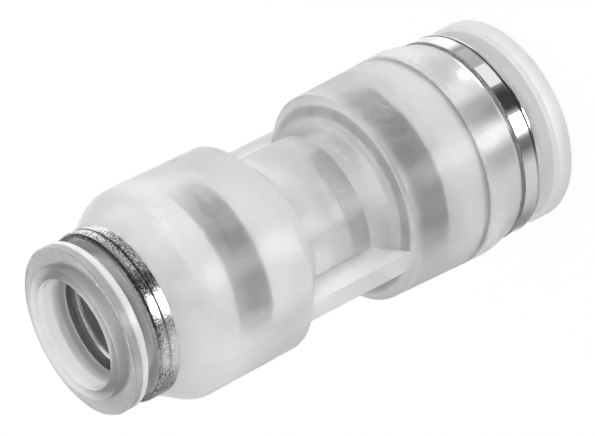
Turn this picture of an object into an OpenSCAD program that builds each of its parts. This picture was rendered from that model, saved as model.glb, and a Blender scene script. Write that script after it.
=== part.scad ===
// Straight push-in fitting that joins a larger plastic tube to a smaller one.
// It stands on the flat end of its large release ring, with +Z along its axis.
// Each end holds the same five pieces in two sizes: a release ring, a collar,
// a toothed grip ring, a support ring and a seal, all in one moulded housing.
// Points of the turned profiles are [radius, depth], depth counted inward from
// the end face of that end's release ring. Lengths are in millimetres.

/* [Tubes] */
// Outer diameter of the tube at the large end
large_tube_d = 10; // [9.6:0.1:10.4]
// Outer diameter of the tube at the small end
small_tube_d = 8; // [7.6:0.1:8.4]
// Radial play between a tube and the bores that it slides through
tube_gap = 0.12; // [0.08:0.01:0.16]
// Diameter of the flow passage between the two tube seats
flow_d = 6; // [5.8:0.1:6.4]
// Length of the flow passage between the two tube seats
flow_l = 3; // [2:0.5:4]

/* [Release rings] */
// How far the rim of the large flange lies inside its collar's
large_flange_inset = 0.05; // [0.02:0.01:0.3]
// How far the rim of the small flange lies inside its collar's
small_flange_inset = 0.1; // [0.02:0.01:0.3]
// Flange thickness of the large release ring
large_flange_t = 1.8; // [1.5:0.1:2.4]
// Flange thickness of the small release ring
small_flange_t = 1.9; // [1.5:0.1:2.4]
// Gap under the large flange, which the ring is pressed through
large_release_gap = 1.5; // [1.2:0.05:1.55]
// Gap under the small flange, which the ring is pressed through
small_release_gap = 0.72; // [0.6:0.01:1.1]
// How far the rim of the large end face lies behind its flat
large_face_fall = 0.2; // [0.1:0.01:0.7]
// How far the rim of the small end face lies behind its flat
small_face_fall = 0.47; // [0.1:0.01:0.7]
// Width of the flat around the mouth of each ring
face_flat = 0.8; // [0.5:0.1:1.2]
// Bevel behind the rim of each flange
rim_bevel = 0.3; // [0.1:0.02:0.4]
// Wall of the sleeve under the flange
sleeve_t = 0.75; // [0.6:0.05:0.8]
// Height of the bead that keeps the sleeve behind the collar's lip
bead_h = 0.28; // [0.15:0.01:0.35]
// Length of that bead
bead_l = 0.8; // [0.6:0.1:1.2]

/* [Collars] */
// Outer diameter of the large collar
large_collar_d = 16.5; // [16.2:0.1:16.8]
// Outer diameter of the small collar
small_collar_d = 13.3; // [13:0.1:13.6]
// Height of each collar in front of the housing
collar_h = 1.75; // [1.5:0.01:1.9]
// Thickness of the front lip
lip_t = 0.5; // [0.4:0.05:0.7]
// Radius of the large collar's rounded front edge
large_collar_edge = 0.32; // [0.2:0.02:0.34]
// Radius of the small collar's rounded front edge
small_collar_edge = 0.46; // [0.2:0.02:0.5]
// Depth of the turned groove
groove_depth = 0.08; // [0.05:0.01:0.15]
// Width of the turned groove
groove_w = 0.26; // [0.16:0.02:0.3]
// Distance from the large collar's front to its groove
large_groove_at = 0.48; // [0.48:0.01:0.9]
// Distance from the small collar's front to its groove
small_groove_at = 0.95; // [0.8:0.01:1.1]
// Wall of the sleeve that is pressed into the housing
collar_wall = 0.5; // [0.4:0.05:0.55]
// Length of the large collar's sleeve in the housing
large_collar_l = 3.35; // [3:0.05:4]
// Length of the small collar's sleeve in the housing
small_collar_l = 3.06; // [2.8:0.02:3.6]

/* [Grip rings and support rings] */
// Sheet thickness of the toothed rings
grip_t = 0.3; // [0.2:0.05:0.4]
// Teeth on the large grip ring
large_teeth = 14; // [8:1:18]
// Teeth on the small grip ring
small_teeth = 12; // [8:1:14]
// Width of the slots between the teeth
slot_w = 0.5; // [0.3:0.05:0.8]
// Width of the flat band outside the teeth of the large ring
large_band_w = 0.55; // [0.4:0.05:0.65]
// Width of the flat band outside the teeth of the small ring
small_band_w = 0.4; // [0.35:0.05:0.45]
// Depth that the teeth gain for each millimetre that they reach inward
tooth_slope = 1.25; // [1.1:0.05:1.4]
// Radial play between the tooth tips and a tube that they have let in
tip_gap = 0.05; // [0.02:0.01:0.06]
// Height of the large support ring
large_support_h = 3.45; // [3:0.1:3.8]
// Height of the small support ring
small_support_h = 2.1; // [2:0.1:2.6]

/* [Seals] */
// Outer diameter of the large seal, and of the large socket around it
large_seal_d = 13.9; // [13.6:0.1:14]
// Outer diameter of the small seal, and of the small socket around it
small_seal_d = 11.2; // [11:0.1:11.3]
// Length of the large seal along the axis
large_seal_l = 3.1; // [2.6:0.1:3.6]
// Length of the small seal along the axis
small_seal_l = 3; // [2.6:0.1:3.4]
// Depth of the groove around the middle of each seal
seal_groove = 0.35; // [0.2:0.05:0.5]
// Height of the two sealing lips inside each seal
seal_lip = 0.6; // [0.4:0.05:0.7]

/* [Housing] */
// Length of the large tube seat behind its seal
large_seat_l = 4.7; // [4:0.1:6]
// Length of the small tube seat behind its seal
small_seat_l = 5.5; // [4.5:0.1:6.5]
// Diameter of the large housing at its mouth
large_mouth_d = 16.32; // [16.2:0.02:16.6]
// Largest diameter of the large housing
large_body_d = 17.28; // [17:0.02:17.8]
// Diameter of the large housing at its inner shoulder, after the draft
large_shoulder_d = 16.64; // [16.5:0.02:17]
// Length of the tapered front of the large housing
large_taper_l = 2.2; // [1.6:0.1:3]
// Diameter of the small housing at its mouth
small_mouth_d = 13.44; // [13.3:0.02:13.7]
// Largest diameter of the small housing
small_body_d = 16.54; // [15.8:0.02:17]
// Diameter of the small housing at its inner shoulder, after the draft
small_shoulder_d = 16.4; // [16.2:0.02:16.5]
// Length of the tapered front of the small housing
small_taper_l = 2.52; // [2:0.02:3]
// Length of each housing from its mouth to its inner shoulder
body_l = 11.2; // [10.6:0.1:11.6]
// Length of the rounding on each side of the corner where a taper ends
taper_round = 0.6; // [0.3:0.1:0.9]
// Small bevel at the edges of the shoulders
shoulder_edge = 0.22; // [0.1:0.02:0.4]
// Length of the cone between the large shoulder and the neck
large_cone_l = 2.3; // [1.8:0.1:2.6]
// Length of the cone between the small shoulder and the neck
small_cone_l = 1.8; // [1.4:0.1:2.2]
// Diameter of the neck between the two housings
neck_d = 12.06; // [11.9:0.02:12.6]
// Thickness of the two ribs along the neck
rib_t = 1.9; // [1.4:0.1:2.6]
// Width over both ribs
rib_w = 16; // [15:0.1:16.1]
// Bevel at the mouth of each bore that a tube enters
lead_in = 0.3; // [0.2:0.05:0.4]

/* [Fits] */
// Radial play of the release sleeve in the collar's lip
run_gap = 0.09; // [0.06:0.01:0.1]
// Space that is left when a release ring is pressed home
stop_gap = 0.1; // [0.05:0.01:0.15]
// Radial play between the pieces that are seated in the housing
seat_gap = 0.02; // [0.01:0.01:0.03]

/* [Hidden] */
fine = 72;
plain = 48;

// Values of the two ends, the large one first
LARGE = 0;
SMALL = 1;
tube_r = [large_tube_d / 2, small_tube_d / 2];
flange_t = [large_flange_t, small_flange_t];
release_gap = [large_release_gap, small_release_gap];
collar_r = [large_collar_d / 2, small_collar_d / 2];
flange_r = [collar_r[0] - large_flange_inset, collar_r[1] - small_flange_inset];
face_fall = [large_face_fall, small_face_fall];
groove_at = [large_groove_at, small_groove_at];
collar_edge = [large_collar_edge, small_collar_edge];
collar_l = [large_collar_l, small_collar_l];
teeth = [large_teeth, small_teeth];
band_w = [large_band_w, small_band_w];
support_h = [large_support_h, small_support_h];
seal_r = [large_seal_d / 2, small_seal_d / 2];
seal_l = [large_seal_l, small_seal_l];
seat_l = [large_seat_l, small_seat_l];
mouth_r = [large_mouth_d / 2, small_mouth_d / 2];
body_r = [large_body_d / 2, small_body_d / 2];
shoulder_r = [large_shoulder_d / 2, small_shoulder_d / 2];
taper_l = [large_taper_l, small_taper_l];
cone_l = [large_cone_l, small_cone_l];

// Radii that follow from the tube
function bore_r(e) = tube_r[e] + tube_gap;
function sleeve_r(e) = bore_r(e) + sleeve_t;
function lip_r(e) = sleeve_r(e) + run_gap;
function tip_r(e) = tube_r[e] + tip_gap;
function root_r(e) = seal_r[e] - band_w[e];

// Depths of the stack, from the end face inward
function collar_d(e) = flange_t[e] + release_gap[e];
function mouth_d(e) = collar_d(e) + collar_h;
function grip_d(e) = mouth_d(e) + collar_l[e];
function support_d(e) = grip_d(e) + grip_t;
function seal_d(e) = support_d(e) + support_h[e];
function seat_d(e) = seal_d(e) + seal_l[e];
function stop_d(e) = seat_d(e) + seat_l[e];
function shoulder_d(e) = mouth_d(e) + body_l;
function travel(e) = release_gap[e] - stop_gap;

// Depth of the front of the teeth at radius r
function tooth_d(e, r) = grip_d(e) + (root_r(e) - r) * tooth_slope;
// The nose of a release ring stops just short of the teeth when it is pressed home
function nose_d(e) = tooth_d(e, bore_r(e)) - travel(e) - stop_gap;

length = stop_d(LARGE) + flow_l + stop_d(SMALL);

// Points of a quarter circle of radius r about [x, y], from angle a to angle b
function arc(x, y, r, a, b, n = 5) = [for (i = [0 : n]) let (t = a + (b - a) * i / n)
    [x + r * cos(t), y + r * sin(t)]];
// Profile points of an end as [radius, height] on the part
function placed(e, points) = [for (p = points) [p[0], e == LARGE ? p[1] : length - p[1]]];
function backward(points) = [for (i = [len(points) - 1 : -1 : 0]) points[i]];
// Corner b between a and c, rounded from reach in front of it to reach behind it
function bend(a, b, c, reach, n = 4) =
    let (from = b + (a - b) * reach / norm(a - b), to = b + (c - b) * reach / norm(c - b))
    [for (i = [0 : n]) let (t = i / n) from * (1 - t) * (1 - t) + b * 2 * t * (1 - t) + to * t * t];

// Turns a profile of one end and puts it at that end
module turned(e, points, facets = plain) {
    rotate_extrude($fn = facets) polygon(placed(e, points));
}

// Outline of one half of the housing, from its mouth to the neck
function half_outline(e) =
    let (mouth = [mouth_r[e], mouth_d(e) + 0.12],
        corner = [body_r[e], mouth_d(e) + taper_l[e]],
        shoulder = [shoulder_r[e], shoulder_d(e) - shoulder_edge])
    concat([[mouth_r[e] - 0.12, mouth_d(e)], mouth],
        bend(mouth, corner, shoulder, taper_round),
        [shoulder, [shoulder_r[e] - shoulder_edge, shoulder_d(e)]],
        [[neck_d / 2, shoulder_d(e) + cone_l[e]]]);

// Stepped bore of one half: the collar's seat, the socket and the tube seat
function half_bore(e) = [
    [0, mouth_d(e) - 1],
    [seal_r[e] + collar_wall + seat_gap, mouth_d(e) - 1],
    [seal_r[e] + collar_wall + seat_gap, grip_d(e)],
    [seal_r[e] + seat_gap, grip_d(e)],
    [seal_r[e] + seat_gap, seat_d(e)],
    [bore_r(e) + lead_in, seat_d(e)],
    [bore_r(e), seat_d(e) + lead_in],
    [bore_r(e), stop_d(e)],
    [0, stop_d(e)]];

module housing() {
    color([0.86, 0.88, 0.88, 0.55])
    difference() {
        union() {
            rotate_extrude($fn = fine) polygon(concat(
                [[0, mouth_d(LARGE)]],
                placed(LARGE, half_outline(LARGE)),
                backward(placed(SMALL, half_outline(SMALL))),
                [[0, length - mouth_d(SMALL)]]));
            ribs();
        }
        for (e = [LARGE, SMALL]) turned(e, half_bore(e), fine);
        translate([0, 0, stop_d(LARGE) - 1]) cylinder(d = flow_d, h = flow_l + 2, $fn = plain);
    }
}

// The two ribs are one flat plate through the axis, sunk into both shoulders
module ribs() {
    sink = 1;
    bottom = shoulder_d(LARGE) - sink;
    top = length - shoulder_d(SMALL) + sink;
    translate([-rib_w / 2, -rib_t / 2, bottom]) cube([rib_w, rib_t, top - bottom]);
}

// Flange with a falling face, and a sleeve with a bead and a slanted nose
module release_ring(e) {
    r = flange_r[e];
    edge = 0.16;
    bead_d = collar_d(e) + lip_t + 0.05;
    color([0.93, 0.95, 0.96, 0.45]) turned(e, concat(
        [[bore_r(e), lead_in], [bore_r(e) + lead_in * 0.7, 0], [bore_r(e) + lead_in * 0.7 + face_flat, 0]],
        arc(r - edge, face_fall[e] + edge, edge, -80, 0, 4),
        [[r, flange_t[e] - rim_bevel], [r - rim_bevel, flange_t[e]], [sleeve_r(e), flange_t[e]]],
        [[sleeve_r(e), bead_d], [sleeve_r(e) + bead_h, bead_d]],
        [[sleeve_r(e) + bead_h, bead_d + bead_l / 2], [sleeve_r(e), bead_d + bead_l]],
        [[sleeve_r(e), nose_d(e) - sleeve_t * tooth_slope], [bore_r(e), nose_d(e)]]), fine);
}

// Cap with a lip in front, a rounded edge, a groove and a sleeve in the housing
module collar(e) {
    r = collar_r[e];
    edge = collar_edge[e];
    front = collar_d(e);
    groove = front + groove_at[e];
    sleeve = seal_r[e] + collar_wall;
    color([0.80, 0.81, 0.82]) turned(e, concat(
        [[lip_r(e), front + lip_t], [lip_r(e), front + 0.08], [lip_r(e) + 0.08, front]],
        arc(r - edge, front + edge, edge, -90, 0, 4),
        [for (i = [-2 : 2]) [r - groove_depth * (1 - i * i / 4), groove + groove_w * i / 4]],
        [[r, mouth_d(e)], [sleeve, mouth_d(e)], [sleeve, grip_d(e)], [seal_r[e], grip_d(e)]],
        [[seal_r[e], front + lip_t]]), fine);
}

// Flat band with teeth that slant inward, parted by slots
module grip_ring(e) {
    outer = seal_r[e];
    root = root_r(e);
    tip = tip_r(e);
    back = grip_t * sqrt(1 + tooth_slope * tooth_slope) / tooth_slope;
    spare = 1;
    low = grip_d(e) - spare;
    high = tooth_d(e, tip) + spare;
    color([0.74, 0.75, 0.77]) difference() {
        turned(e, [
            [outer, grip_d(e)], [outer, support_d(e)],
            [root - 0.08, support_d(e)], [tip + back, tooth_d(e, tip)], [tip, tooth_d(e, tip)],
            [root, grip_d(e)]]);
        for (i = [0 : teeth[e] - 1])
            rotate([0, 0, (i + 0.5) * 360 / teeth[e]])
                translate([tip / 2, -slot_w / 2, e == LARGE ? low : length - high])
                    cube([root - 0.05 - tip / 2, slot_w, high - low]);
    }
}

// Ring behind the teeth, opened by a cone that leaves them room to bend
module support_ring(e) {
    outer = seal_r[e];
    room = root_r(e) - 0.02;
    cone = (room - bore_r(e)) * tooth_slope + grip_t;
    color([0.90, 0.91, 0.90, 0.8]) turned(e, [
        [outer, support_d(e)], [outer, seal_d(e) - 0.15], [outer - 0.15, seal_d(e)],
        [bore_r(e) + 0.1, seal_d(e)], [bore_r(e), seal_d(e) - 0.1],
        [bore_r(e), support_d(e) + cone], [room, support_d(e) + grip_t * 0.5], [room, support_d(e)]]);
}

// Rubber ring with a groove around its middle and two lips that meet the tube
module seal(e) {
    outer = seal_r[e];
    inner = tip_r(e);
    front = seal_d(e);
    back = seat_d(e);
    middle = (front + back) / 2;
    color([0.12, 0.13, 0.13]) turned(e, concat(
        [[inner + seal_lip, front], [outer - 0.2, front], [outer, front + 0.2]],
        [[outer, middle - 0.35], [outer - seal_groove, middle], [outer, middle + 0.35]],
        [[outer, back - 0.2], [outer - 0.2, back], [inner + seal_lip, back]],
        [[inner, back - 0.5], [inner, back - 0.75], [inner + seal_lip, middle]],
        [[inner, front + 0.75], [inner, front + 0.5]]));
}

module large_release_ring() release_ring(LARGE);
module large_collar() collar(LARGE);
module large_grip_ring() grip_ring(LARGE);
module large_support_ring() support_ring(LARGE);
module large_seal() seal(LARGE);
module small_release_ring() release_ring(SMALL);
module small_collar() collar(SMALL);
module small_grip_ring() grip_ring(SMALL);
module small_support_ring() support_ring(SMALL);
module small_seal() seal(SMALL);

housing();
large_release_ring();
large_collar();
large_grip_ring();
large_support_ring();
large_seal();
small_release_ring();
small_collar();
small_grip_ring();
small_support_ring();
small_seal();
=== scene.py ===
# %% [markdown]
# # A see-through push-in fitting
# The part joins a larger plastic tube to a smaller one. A milky housing carries, at each
# end, a clear release ring, a steel collar, a ring of steel teeth, a support ring and a
# black rubber seal. All of them show through the plastic, so this lesson is mostly about
# plastic that lets light through, and about steel that mirrors what stands around it.
#
# The shapes come ready made from the frame, and we load it once.

# %% Load the frame
import bpy
import math
from mathutils import Matrix, Vector

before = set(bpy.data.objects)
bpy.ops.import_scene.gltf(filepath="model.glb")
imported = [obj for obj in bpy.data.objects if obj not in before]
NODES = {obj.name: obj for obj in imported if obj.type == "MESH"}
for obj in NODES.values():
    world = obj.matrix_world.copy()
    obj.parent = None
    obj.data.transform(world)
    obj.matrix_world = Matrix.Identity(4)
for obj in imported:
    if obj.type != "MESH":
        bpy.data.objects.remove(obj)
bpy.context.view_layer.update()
MM = 0.001
print("nodes:", ", ".join(sorted(NODES)))

# %% [markdown]
# ## Camera
# A long lens flattens the view, as in most catalogue pictures. The camera stands to one
# side of the part and above its middle, and it is rolled, so that the standing part lies
# slanted across the picture with its small end to the lower left.
# Its place, its target and its roll come from the ellipses that the round edges make.

# %% Camera
CAMERA_AT = Vector((0.133894, 0.174493, 0.151550))
CAMERA_TO = Vector((-0.000197, 0.000090, 0.020336))
CAMERA_ROLL = math.radians(116.869)
LENS = 208.81

view_back = (CAMERA_AT - CAMERA_TO).normalized()
axis_up = (Vector((0, 0, 1)) - view_back * view_back.z).normalized()
picture_up = Matrix.Rotation(-CAMERA_ROLL, 3, view_back) @ axis_up
picture_right = picture_up.cross(view_back)

camera_data = bpy.data.cameras.new("camera")
camera_data.lens = LENS
camera_data.sensor_width = 36
camera_data.clip_start = 0.01
camera_data.clip_end = 20
camera = bpy.data.objects.new("camera", camera_data)
basis = Matrix((picture_right, picture_up, view_back)).transposed().to_4x4()
camera.matrix_world = Matrix.Translation(CAMERA_AT) @ basis
bpy.context.scene.collection.objects.link(camera)
bpy.context.scene.camera = camera
print("picture right", [round(v, 3) for v in picture_right])
print("picture up", [round(v, 3) for v in picture_up])

# %% [markdown]
# ## Starting a material
# Every finish here is built from nodes in code. We could place the nodes by hand, but a
# few short helpers let each finish read like a recipe: one starts a material, one adds a
# node with its values, and one puts the material on a piece.

# %% Material helpers
def new_material(name, color, roughness, metallic=0.0):
    """Starts a material and returns it with its node tree and its Principled shader."""
    material = bpy.data.materials.new(name)
    material.use_nodes = True
    shader = material.node_tree.nodes["Principled BSDF"]
    shader.inputs["Base Color"].default_value = (*color, 1)
    shader.inputs["Roughness"].default_value = roughness
    shader.inputs["Metallic"].default_value = metallic
    return material, material.node_tree, shader


def add_node(tree, kind, settings=None, **values):
    """Adds a node; settings are its properties, values fill its input sockets by name."""
    node = tree.nodes.new(kind)
    for name, value in (settings or {}).items():
        setattr(node, name, value)
    for name, value in values.items():
        node.inputs[name.replace("_", " ")].default_value = value
    return node


def dress(node_name, material):
    """Gives a frame node its finish, in the slot that it already has."""
    for slot in NODES[node_name].material_slots:
        slot.material = material
    print("dressed", node_name, "with", material.name)


print("materials before ours:", len(bpy.data.materials))

# %% [markdown]
# ## Sums in nodes
# A pattern on a surface is a sum that Blender works out at every point: where is the
# point, how strong is the noise there, how much does that change the shine. These helpers
# write such sums. Each takes numbers or sockets and hands back the socket of its result.

# %% Number helpers
def link_value(tree, source, target):
    """Puts a number or another node's output into a socket."""
    if isinstance(source, (int, float)):
        target.default_value = source
    else:
        tree.links.new(source, target)


def compute(tree, operation, a, b=0.0, clamp=False):
    """One Math node; a and b are numbers or sockets."""
    node = add_node(tree, "ShaderNodeMath", {"operation": operation, "use_clamp": clamp})
    link_value(tree, a, node.inputs[0])
    link_value(tree, b, node.inputs[1])
    return node.outputs[0]


def blend(tree, share, a, b):
    """a where share is 0, b where it is 1."""
    node = add_node(tree, "ShaderNodeMix")
    for source, name in ((share, "Factor"), (a, "A"), (b, "B")):
        link_value(tree, source, node.inputs[name])
    return node.outputs["Result"]


def remap(tree, source, low, high, smooth=False):
    """0 at low, 1 at high."""
    node = add_node(tree, "ShaderNodeMapRange", From_Min=low, From_Max=high)
    if smooth:
        node.interpolation_type = "SMOOTHSTEP"
    link_value(tree, source, node.inputs["Value"])
    return node.outputs["Result"]


def curve_of(tree, source, pairs):
    """A value that follows straight lines between pairs of (input, output)."""
    # The node's own points lie between 0 and 1, so both sides of a pair are scaled to that
    node = add_node(tree, "ShaderNodeFloatCurve")
    first, last = pairs[0][0], pairs[-1][0]
    top = max(value for _, value in pairs)
    points = node.mapping.curves[0].points
    while len(points) < len(pairs):
        points.new(0.5, 0.5)
    for point, (place, value) in zip(points, pairs):
        point.location = ((place - first) / (last - first), value / top)
        point.handle_type = "VECTOR"
    node.mapping.update()
    tree.links.new(remap(tree, source, first, last), node.inputs["Value"])
    return compute(tree, "MULTIPLY", node.outputs[0], top)


print("helpers for sums: compute, blend, remap and curve_of")

# %% [markdown]
# ## Places and patterns
# Turned and moulded pieces change along their axis and away from it, so we ask each point
# for its height and for its distance from the axis. Noise gives what a formula can't: the
# flow of the plastic, the grain of the steel.

# %% Pattern helpers
def split(tree, vector):
    """The x, y and z of a vector."""
    node = add_node(tree, "ShaderNodeSeparateXYZ")
    tree.links.new(vector, node.inputs[0])
    return [node.outputs[k] for k in "XYZ"]


def axis_distance(tree, point):
    """How far a point is from the part's axis."""
    x, y, _ = split(tree, point)
    squares = [compute(tree, "MULTIPLY", side, side) for side in (x, y)]
    return compute(tree, "SQRT", compute(tree, "ADD", *squares))


def noise(tree, point, **values):
    """The strength of a noise pattern at a point."""
    node = add_node(tree, "ShaderNodeTexNoise", **values)
    tree.links.new(point, node.inputs["Vector"])
    return node.outputs["Fac"]


def stretch(tree, point, *scale):
    """The point scaled along each axis, so that a pattern over it is squeezed or drawn out."""
    node = add_node(tree, "ShaderNodeMapping", Scale=scale)
    tree.links.new(point, node.inputs["Vector"])
    return node.outputs["Vector"]


def vary(tree, value, pattern, least, spread):
    """The value times least where the pattern is 0, times least + spread where it is 1."""
    grade = compute(tree, "ADD", least, compute(tree, "MULTIPLY", pattern, spread))
    return compute(tree, "MULTIPLY", value, grade)


def add_bump(tree, shader, pattern, strength, distance):
    """Makes the surface look raised where the pattern is strong."""
    node = add_node(tree, "ShaderNodeBump", Strength=strength, Distance=distance)
    tree.links.new(pattern, node.inputs["Height"])
    tree.links.new(node.outputs["Normal"], shader.inputs["Normal"])


# %% [markdown]
# ## Milky housing
# The housing is moulded in polypropylene without any dye. It lets light through but blurs
# it, so the black seals show as soft dark bands. Scatter inside a volume would be closest
# to the real plastic, but it renders slowly. Here each skin of the wall lets most of the
# light through and scatters the rest as white, so a smaller share makes it milkier.
#
# The share follows the height: the wall is thick at the shoulders and thin over the
# seals, and the photo shows it clearest over the far collar. Cloudy patches, drawn out
# along the axis as the melt ran, and fine specks take a little away. The flat steps inside
# are rougher from the mould, and the ribs are solid plastic, so both let less through.

# %% How clear the wall is
# Height in mm along the part, and the share of light that a skin lets through there
CLEARNESS = [
    (5.0, 0.96), (7.0, 0.95), (8.4, 0.88), (9.2, 0.82), (11.4, 0.82), (12.0, 0.94), (15.2, 0.94),
    (15.8, 0.80), (16.2, 0.74), (17.5, 0.74), (18.6, 0.86), (21.2, 0.85), (22.5, 0.84), (28.0, 0.85),
    (28.8, 0.92), (31.2, 0.92), (32.0, 0.85), (34.2, 0.82), (35.0, 0.74), (37.0, 0.70)]
# What the cloudy patches, the fine specks, the flat steps and the ribs take from it
CLOUDS_TAKE = 0.07
SPECKS_TAKE = 0.06
STEPS_TAKE = 0.5
RIBS_TAKE = 0.18
# The ribs start at this radius, reach this far to each side, and lie between these heights
RIB_FROM = 6.2 * MM
RIB_HALF = 0.96 * MM
RIB_HEIGHTS = (16.3 * MM, 25.7 * MM)


def is_rib(tree, point):
    """1 in the two ribs beside the neck, 0 elsewhere."""
    _, y, z = split(tree, point)
    low, high = RIB_HEIGHTS
    share = compute(tree, "GREATER_THAN", axis_distance(tree, point), RIB_FROM)
    for test in (
            compute(tree, "LESS_THAN", compute(tree, "ABSOLUTE", y), RIB_HALF),
            compute(tree, "GREATER_THAN", z, low),
            compute(tree, "LESS_THAN", z, high)):
        share = compute(tree, "MULTIPLY", share, test)
    return share


def wall_clearness(tree, point, height, normal):
    """The share of light that a skin of the wall lets through."""
    drawn_out = stretch(tree, point, 1.0, 1.0, 0.3)
    clouds = noise(tree, drawn_out, Scale=480.0, Detail=4.0, Roughness=0.6)
    specks = noise(tree, drawn_out, Scale=4200.0, Detail=2.0, Roughness=0.6)
    flatness = compute(tree, "ABSOLUTE", split(tree, normal)[2])
    clear = curve_of(tree, height, CLEARNESS)
    # Both noises lie around 0.5, so their limits grade the stronger part of each. A step is
    # flat where its normal runs along the axis.
    for pattern, share in (
            (remap(tree, clouds, 0.42, 0.66, smooth=True), CLOUDS_TAKE),
            (remap(tree, flatness, 0.9, 0.98), STEPS_TAKE),
            (remap(tree, specks, 0.5, 0.68), SPECKS_TAKE),
            (is_rib(tree, point), RIBS_TAKE)):
        clear = compute(tree, "SUBTRACT", clear, compute(tree, "MULTIPLY", pattern, share))
    return clear


print("clearest skin:", max(share for _, share in CLEARNESS))
print("milkiest skin:", min(share for _, share in CLEARNESS))

# %% [markdown]
# The skin's roughness decides how much the seals blur. The taper over the far collar is
# polished in the mould, so the steel under it stays sharp. A slow noise varies the
# roughness and lifts the skin a little, as the flow in the mould does.

# %% Milky plastic
PLASTIC_WHITE = (0.985, 0.99, 0.99)
PLASTIC_IOR = 1.49
# Height in mm along the part, and the roughness of the skin there
SKIN_ROUGHNESS = [(5.0, 0.22), (8.0, 0.24), (9.5, 0.35), (34.0, 0.35), (35.5, 0.32), (37.0, 0.3)]


def milky_plastic():
    material, tree, shader = new_material("milky_plastic", PLASTIC_WHITE, 0.2)
    shader.inputs["IOR"].default_value = PLASTIC_IOR
    coords = add_node(tree, "ShaderNodeTexCoord")
    point = coords.outputs["Object"]
    height = compute(tree, "DIVIDE", split(tree, point)[2], MM)
    flow = noise(tree, point, Scale=220.0, Detail=3.0)
    rough = vary(tree, curve_of(tree, height, SKIN_ROUGHNESS), flow, least=0.85, spread=0.3)
    clear = wall_clearness(tree, point, height, coords.outputs["Normal"])
    tree.links.new(rough, shader.inputs["Roughness"])
    tree.links.new(clear, shader.inputs["Transmission Weight"])
    add_bump(tree, shader, flow, strength=0.08, distance=0.06 * MM)
    return material


dress("housing", milky_plastic())

# %% [markdown]
# ## Clear release rings
# A release ring is one moulding: a flange to press on, and a sleeve that runs into the
# collar. The sleeve is clear and shiny. The flange is frosted, so it looks paler and
# hides what lies behind it. One material does both, and changes over a short stretch of
# height where the flange meets the sleeve.
#
# Three places differ from the rest of the flange. Its rim is smoother on the small ring,
# a milkier band at the back edge of that rim paints the white highlight of its rounding, and
# the face that stands on the floor is clear, so that the pale floor shows through the large ring.

# %% Clear plastic
SLEEVE_CLEARNESS = 1.0
# The roughness of the sleeve, in its bore and on its outside
BORE_ROUGHNESS = 0.06
SLEEVE_ROUGHNESS = 0.28
FOOT_CLEARNESS = 0.95
# Where each finish starts and is full, in mm from the rim, the bore, the back edge and the floor
RIM_FADE = (-0.4, -0.1)
OUTSIDE_FADE = (0.2, 0.5)
# The band at the rim's back edge is made milkier, which paints a white highlight there
PAINTED_HIGHLIGHT_FADE = (0.15, 0.0)
FOOT_FADE = (0.25, 0.1)
# In mm: the heights where the frost starts and is full, the radii of rim and bore, and the
# height of the rim's back edge, where a milkier band paints a white highlight
RELEASE_RINGS = {
    "large": dict(frost_from=2.6, frost_to=1.9, clearness=0.5, face_rough=0.5, rim_rough=0.5,
                  rim_r=8.2, bore_r=5.12, edge_z=0.0, painted_highlight_clearness=0.5),
    "small": dict(frost_from=38.75, frost_to=38.95, clearness=0.83, face_rough=0.3, rim_rough=0.26,
                  rim_r=6.55, bore_r=4.12, edge_z=40.05, painted_highlight_clearness=0.5)}


def band(tree, source, place, fade):
    """0 at the first number of fade past the place, 1 at the second, all in mm."""
    low, high = [(place + step) * MM for step in fade]
    return remap(tree, source, low, high)


def clear_plastic(name, frost_from, frost_to, clearness, face_rough, rim_rough,
                  rim_r, bore_r, edge_z, painted_highlight_clearness):
    material, tree, shader = new_material(name, PLASTIC_WHITE, 0.2)
    shader.inputs["IOR"].default_value = PLASTIC_IOR
    point = add_node(tree, "ShaderNodeTexCoord").outputs["Object"]
    height = split(tree, point)[2]
    across = axis_distance(tree, point)
    frosted = band(tree, height, 0, (frost_from, frost_to))
    on_rim = band(tree, across, rim_r, RIM_FADE)
    outside = band(tree, across, bore_r, OUTSIDE_FADE)
    # A milkier band at the back edge of the rim is a painted white highlight
    painted_highlight_band = compute(tree, "MULTIPLY", band(tree, height, edge_z, PAINTED_HIGHLIGHT_FADE), on_rim)
    on_foot = band(tree, height, 0, FOOT_FADE)

    flow = noise(tree, point, Scale=400.0, Detail=2.0)
    sleeve_rough = blend(tree, outside, BORE_ROUGHNESS, SLEEVE_ROUGHNESS)
    flange_rough = blend(tree, on_rim, face_rough, rim_rough)
    rough = blend(tree, frosted, sleeve_rough, flange_rough)
    rough = vary(tree, rough, flow, least=0.9, spread=0.2)
    tree.links.new(rough, shader.inputs["Roughness"])

    # Letting less light through at the back edge paints a white highlight there
    flange_clear = blend(tree, painted_highlight_band, clearness, painted_highlight_clearness)
    flange_clear = blend(tree, on_foot, flange_clear, FOOT_CLEARNESS)
    clear = blend(tree, frosted, SLEEVE_CLEARNESS, flange_clear)
    tree.links.new(clear, shader.inputs["Transmission Weight"])
    return material


for end, ring in RELEASE_RINGS.items():
    dress(end + "_release_ring", clear_plastic("clear_plastic_" + end, **ring))

# %% [markdown]
# ## Steel collars and grip rings
# The collars are turned from stainless steel. Fine rings from the tool stay on the
# surface: noise that is squeezed along the axis makes them, as changes of roughness. A
# fine grain breaks up the mirror image as bump.
#
# The large collar is polished. The small one is duller and has dark pits in patches, but
# only where it is bare, not on the sleeve inside the housing, so a radius limits them. The
# toothed grip rings are punched from spring steel and show only blurred, so they get the
# same recipe, plain and rough.

# %% Turned steel
def mix_colors(tree, share, a, b):
    """Color a where share is 0, color b where it is 1."""
    node = add_node(tree, "ShaderNodeMix", {"data_type": "RGBA"})
    sockets = {socket.identifier: socket for socket in (*node.inputs, *node.outputs)}
    tree.links.new(share, sockets["Factor_Float"])
    sockets["A_Color"].default_value = (*a, 1)
    sockets["B_Color"].default_value = (*b, 1)
    return sockets["Result_Color"]


# How a noise is squeezed to rings round the axis
RING_SCALE = (60.0, 60.0, 6000.0)


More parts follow.
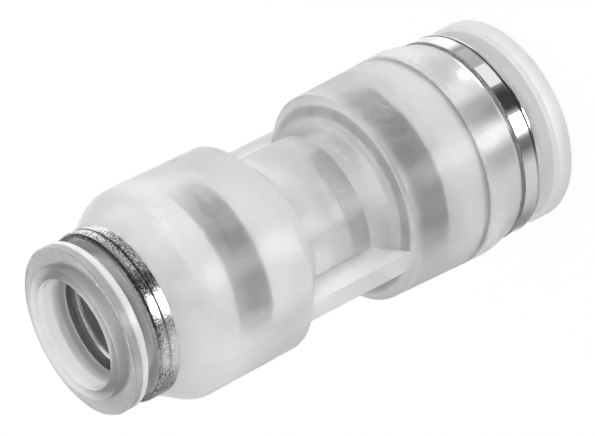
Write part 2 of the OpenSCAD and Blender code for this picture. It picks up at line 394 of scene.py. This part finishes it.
def dark_pits(tree, point, bare_r):
    """How strongly a pit darkens a point, which is 0 inside the radius bare_r."""
    # A pit is where a fine noise is weak. Outside the patches of a slow noise the pits keep
    # a quarter of their strength.
    pits = remap(tree, noise(tree, point, Scale=7000.0, Detail=2.0, Roughness=0.7), 0.56, 0.44)
    patches = remap(tree, noise(tree, point, Scale=260.0, Detail=2.0), 0.4, 0.55, smooth=True)
    bare = compute(tree, "GREATER_THAN", axis_distance(tree, point), bare_r)
    deep = blend(tree, patches, 0.25, 1.0)
    return compute(tree, "MULTIPLY", compute(tree, "MULTIPLY", pits, bare), deep)


def turned_steel(name, grey, roughness, grain_depth, pit_grey, bare_r):
    """pit_grey is the color in the deepest pits, as a share of the steel's own."""
    color = (grey, grey, grey)
    material, tree, shader = new_material(name, color, roughness, metallic=1.0)
    point = add_node(tree, "ShaderNodeTexCoord").outputs["Object"]
    rings = noise(tree, stretch(tree, point, *RING_SCALE), Scale=1.0, Detail=4.0)
    rough = add_node(tree, "ShaderNodeMapRange", To_Min=roughness * 0.7, To_Max=roughness * 1.5)
    tree.links.new(rings, rough.inputs["Value"])
    tree.links.new(rough.outputs["Result"], shader.inputs["Roughness"])
    grain = noise(tree, point, Scale=9000.0, Detail=2.0)
    add_bump(tree, shader, grain, strength=1.0, distance=grain_depth)
    pitted = [value * pit_grey for value in color]
    tint = mix_colors(tree, dark_pits(tree, point, bare_r), color, pitted)
    tree.links.new(tint, shader.inputs["Base Color"])
    return material


# No point of the part is this far out, so this steel has no pits
NO_PITS = 1.0
spring_steel = turned_steel("spring_steel", grey=0.9, roughness=0.5, grain_depth=0.001 * MM,
                            pit_grey=0.9, bare_r=NO_PITS)
collar_steels = {
    "large": turned_steel("large_collar_steel", grey=0.82, roughness=0.06,
                          grain_depth=0.002 * MM, pit_grey=0.95, bare_r=7.9 * MM),
    "small": turned_steel("small_collar_steel", grey=0.84, roughness=0.2,
                          grain_depth=0.01 * MM, pit_grey=0.25, bare_r=6.4 * MM)}
for end, steel in collar_steels.items():
    dress(end + "_collar", steel)
    dress(end + "_grip_ring", spring_steel)

# %% [markdown]
# ## Support rings and seals
# The support rings are white plastic, and the seals are black rubber with paler, dusty
# clouds. Both are only seen through the housing or deep in a bore. Large clouds of a
# second color are what shows of them, and a fine bump takes the gloss off.

# %% White plastic and rubber
def speckled(name, color, paler, roughness, grain_scale, cloud_scale):
    material, tree, shader = new_material(name, color, roughness)
    point = add_node(tree, "ShaderNodeTexCoord").outputs["Object"]
    grain = noise(tree, point, Scale=grain_scale, Detail=4.0)
    add_bump(tree, shader, grain, strength=0.3, distance=0.02 * MM)
    clouds = noise(tree, point, Scale=cloud_scale, Detail=6.0, Roughness=0.7)
    tint = mix_colors(tree, remap(tree, clouds, 0.4, 0.62), color, paler)
    tree.links.new(tint, shader.inputs["Base Color"])
    return material


white_plastic = speckled("white_plastic", color=(0.92, 0.92, 0.92), paler=(0.95, 0.95, 0.95),
                         roughness=0.4, grain_scale=900.0, cloud_scale=300.0)
rubber = speckled("rubber", color=(0.015, 0.015, 0.016), paler=(0.09, 0.09, 0.095),
                  roughness=0.4, grain_scale=1600.0, cloud_scale=500.0)
for end in ("large", "small"):
    dress(end + "_support_ring", white_plastic)
    dress(end + "_seal", rubber)

# %% [markdown]
# ## Three kinds of rays
# Cycles follows rays back from the camera. Some come straight from it, also through
# plastic, some have been turned by a mirror, and the rest carry soft light. The Light
# Path node tells them apart, so the studio can look white behind the part, show stripes
# in the steel, and still light everything evenly.

# %% Rays and stage sheets
def ray_kinds(tree):
    """Three values: 1 for rays that a mirror has turned, 1 for rays straight from the camera,
    also those that passed through plastic, and the number of plastic skins passed on the way."""
    path = add_node(tree, "ShaderNodeLightPath")
    soft = compute(tree, "MINIMUM", path.outputs["Diffuse Depth"], 1.0)
    sharp = compute(tree, "SUBTRACT", 1.0, soft, clamp=True)
    turned = compute(tree, "MINIMUM", path.outputs["Glossy Depth"], 1.0)
    mirrored = compute(tree, "MULTIPLY", turned, sharp)
    direct = compute(tree, "SUBTRACT", sharp, turned, clamp=True)
    return mirrored, direct, path.outputs["Transmission Depth"]


def mix_surfaces(tree, share, a, b):
    """Surface a where share is 0, surface b where it is 1."""
    node = add_node(tree, "ShaderNodeMixShader")
    tree.links.new(share, node.inputs[0])
    tree.links.new(a.outputs[0], node.inputs[1])
    tree.links.new(b.outputs[0], node.inputs[2])
    return node


def stage_sheet(name, corners, material):
    """A flat sheet that belongs to the studio, not to the part."""
    mesh = bpy.data.meshes.new(name)
    mesh.from_pydata(corners, [], [tuple(range(len(corners)))])
    mesh.materials.append(material)
    sheet = bpy.data.objects.new(name, mesh)
    bpy.context.scene.collection.objects.link(sheet)
    print("stage:", name, "with", len(corners), "corners")


print("ray kinds: turned by a mirror, straight from the camera, and skins passed")

# %% [markdown]
# ## Floor
# The floor is a pale sheet under the part. For the camera, and for what it sees through
# plastic, most of its white is emitted, so it runs out into a white background while the
# shadow of the part stays on it. Mirrors don't see it: below the horizon they see the
# studio of the world, which is easier to shape than a floor.

# %% Floor
FLOOR_HALF = 1.2
FLOOR_GLOW = 1.02
GLOW_SHARE = 0.9


def floor_material():
    material, tree, shader = new_material("floor_white", (0.85, 0.85, 0.85), 0.9)
    mirrored, direct, _ = ray_kinds(tree)
    glow = add_node(tree, "ShaderNodeEmission", Color=(1, 1, 1, 1), Strength=FLOOR_GLOW)
    clear = add_node(tree, "ShaderNodeBsdfTransparent")
    lit = mix_surfaces(tree, compute(tree, "MULTIPLY", direct, GLOW_SHARE), shader, glow)
    sheet = mix_surfaces(tree, mirrored, lit, clear)
    tree.links.new(sheet.outputs[0], tree.nodes["Material Output"].inputs["Surface"])
    return material


SQUARE = [(-1, -1), (1, -1), (1, 1), (-1, 1)]
stage_sheet("floor", [(x * FLOOR_HALF, y * FLOOR_HALF, 0) for x, y in SQUARE], floor_material())

# %% [markdown]
# ## Card at the foot
# The far collar shows one light patch low on its side. A photographer would lay a small
# white card in front of it. Ours glows for mirrored rays alone, and the camera looks
# through it.

# %% Foot card
CARD = [(3.2, 12.5), (4.0, 26.0), (-7.2, 26.0), (-1.1, 12.5)]
CARD_HEIGHT = 0.05
CARD_GLOW = 1.0


def card_material():
    material, tree, _ = new_material("card_white", (0.9, 0.9, 0.9), 0.9)
    mirrored, _, _ = ray_kinds(tree)
    glow = add_node(tree, "ShaderNodeEmission", Color=(1, 1, 1, 1), Strength=CARD_GLOW)
    clear = add_node(tree, "ShaderNodeBsdfTransparent")
    sheet = mix_surfaces(tree, mirrored, clear, glow)
    tree.links.new(sheet.outputs[0], tree.nodes["Material Output"].inputs["Surface"])
    return material


stage_sheet("foot_card", [(x * MM, y * MM, CARD_HEIGHT * MM) for x, y in CARD], card_material())

# %% [markdown]
# ## What a mirror sees
# Polished steel has no look of its own, it shows the studio. A photographer stands a
# narrow lamp, white sheets and black cards round the part, and each gives one stripe on
# the collars. Here the world plays all of them, for mirrored rays alone. One curve gives
# the brightness round the horizon and below it, and a second one above it, where it is
# dark on the camera's side.

# %% Brightness round the part
# Azimuth in degrees from +X, and how bright the studio is there
ROUND_VIEW = [
    (-180, 1.2), (-165, 1.0), (-127, 1.0), (-112, 0.8), (-104, 0.45), (-97, 0.3), (-77, 0.33),
    (-57, 0.6), (-37, 0.72), (-7, 0.75), (2, 0.48), (12, 0.16), (22, 0.22), (28, 0.8),
    (30, 7.0), (48, 7.0), (50, 0.6), (57, 0.06), (75, 0.05), (82, 0.12), (90, 0.55),
    (112, 0.55), (120, 0.5), (142, 0.6), (150, 0.4), (156, 0.9), (161, 1.3), (180, 1.2)]
# The same for what stands above the horizon
ABOVE_VIEW = [
    (-180, 0.2), (-165, 0.25), (-150, 0.16), (-105, 0.16), (-85, 0.4), (-20, 0.42), (-8, 0.28),
    (10, 0.04), (150, 0.04), (165, 0.07), (180, 0.2)]
print("brightest stripe:", max(ROUND_VIEW, key=lambda stripe: stripe[1]))

# %% [markdown]
# A ray that is turned inside the plastic passes two skins, and would show the stripes as
# hard lines in the milky wall. So a veil of plain white lies over the studio for it, but
# above the horizon not on the far side of the part, which stays a little darker. A ray
# that is turned by steel under the wall passes four skins and keeps most of its stripes.
# All other rays see an even white, which lights the part softly.

# %% Studio world
SOFT_LEVEL = 1.0
# How much white lies over the view of rays turned inside the plastic, or by steel under it
INSIDE_VEIL = 1.0
STEEL_VEIL = 0.15
# How much of it lies above the horizon, apart from the far side
BESIDE_VEIL = 0.75
# The azimuth straight behind the part, as the camera sees it, and how far its darker side
# reaches from there, all in degrees
FAR_SIDE = -127.5
FAR_SIDE_REACH = (30, 55)
# The heights of a direction between which one curve passes into the other
HORIZON = (-0.25, 0.0)

world = bpy.data.worlds.new("studio")
bpy.context.scene.world = world
world.use_nodes = True
sky = world.node_tree
way = add_node(sky, "ShaderNodeTexCoord").outputs["Generated"]
way_x, way_y, way_z = split(sky, way)
azimuth = compute(sky, "MULTIPLY", compute(sky, "ARCTAN2", way_y, way_x), 180 / math.pi)
mirrored, direct, passed = ray_kinds(sky)
under = remap(sky, passed, 0.0, 1.0)

around = curve_of(sky, azimuth, ROUND_VIEW)
# Under plastic no stripe is brighter than white, and the veil lies over what is left of it
calm = blend(sky, under, around, compute(sky, "MINIMUM", around, 1.0))
# 0 for two skins, 1 for four
four_skins = remap(sky, passed, 2.5, 3.5)
veil = blend(sky, four_skins, INSIDE_VEIL, STEEL_VEIL)
around = blend(sky, compute(sky, "MULTIPLY", under, veil), calm, 1.0)

above = curve_of(sky, azimuth, ABOVE_VIEW)
off_side = compute(sky, "ABSOLUTE", compute(sky, "SUBTRACT", azimuth, FAR_SIDE))
veil_above = blend(sky, remap(sky, off_side, *FAR_SIDE_REACH), 0.0, BESIDE_VEIL)
above = blend(sky, compute(sky, "MULTIPLY", under, veil_above), above, 1.0)

studio = blend(sky, remap(sky, way_z, *HORIZON, smooth=True), around, above)
level = blend(sky, mirrored, blend(sky, direct, SOFT_LEVEL, 1.0), studio)
background = sky.nodes["Background"]
background.inputs["Color"].default_value = (1, 1, 1, 1)
sky.links.new(level, background.inputs["Strength"])
print("stripes round the horizon:", len(ROUND_VIEW))

# %% [markdown]
# ## Lamps
# Two large soft lamps give the part its top light and the shadow on the floor. They are
# placed by the picture: right, up and towards the camera, because that is how we read the
# light in a photograph. Mirrors don't see them, because the world has its own stripes.

# %% Lamps
def soft_lamp(name, right, up, near, distance, size, power):
    """An area lamp in a direction given in picture axes, turned to the middle of the part."""
    toward = (picture_right * right + picture_up * up + view_back * near).normalized()
    lamp_data = bpy.data.lights.new(name, "AREA")
    lamp_data.shape = "DISK"
    lamp_data.size = size
    lamp_data.energy = power
    lamp = bpy.data.objects.new(name, lamp_data)
    lamp.location = CAMERA_TO + toward * distance
    lamp.rotation_euler = toward.to_track_quat("Z", "Y").to_euler()
    lamp.visible_glossy = False
    bpy.context.scene.collection.objects.link(lamp)
    print("lamp:", name, "of", power, "W")


soft_lamp("key_lamp", right=-0.2, up=0.9, near=0.5, distance=0.7, size=0.5, power=2.2)
soft_lamp("front_lamp", right=0.3, up=0.2, near=1.0, distance=0.8, size=0.4, power=0.3)

# %% [markdown]
# ## Finish
# The Standard view transform shows colors as they are written.

# %% Finish
bpy.context.scene.view_settings.view_transform = "Standard"
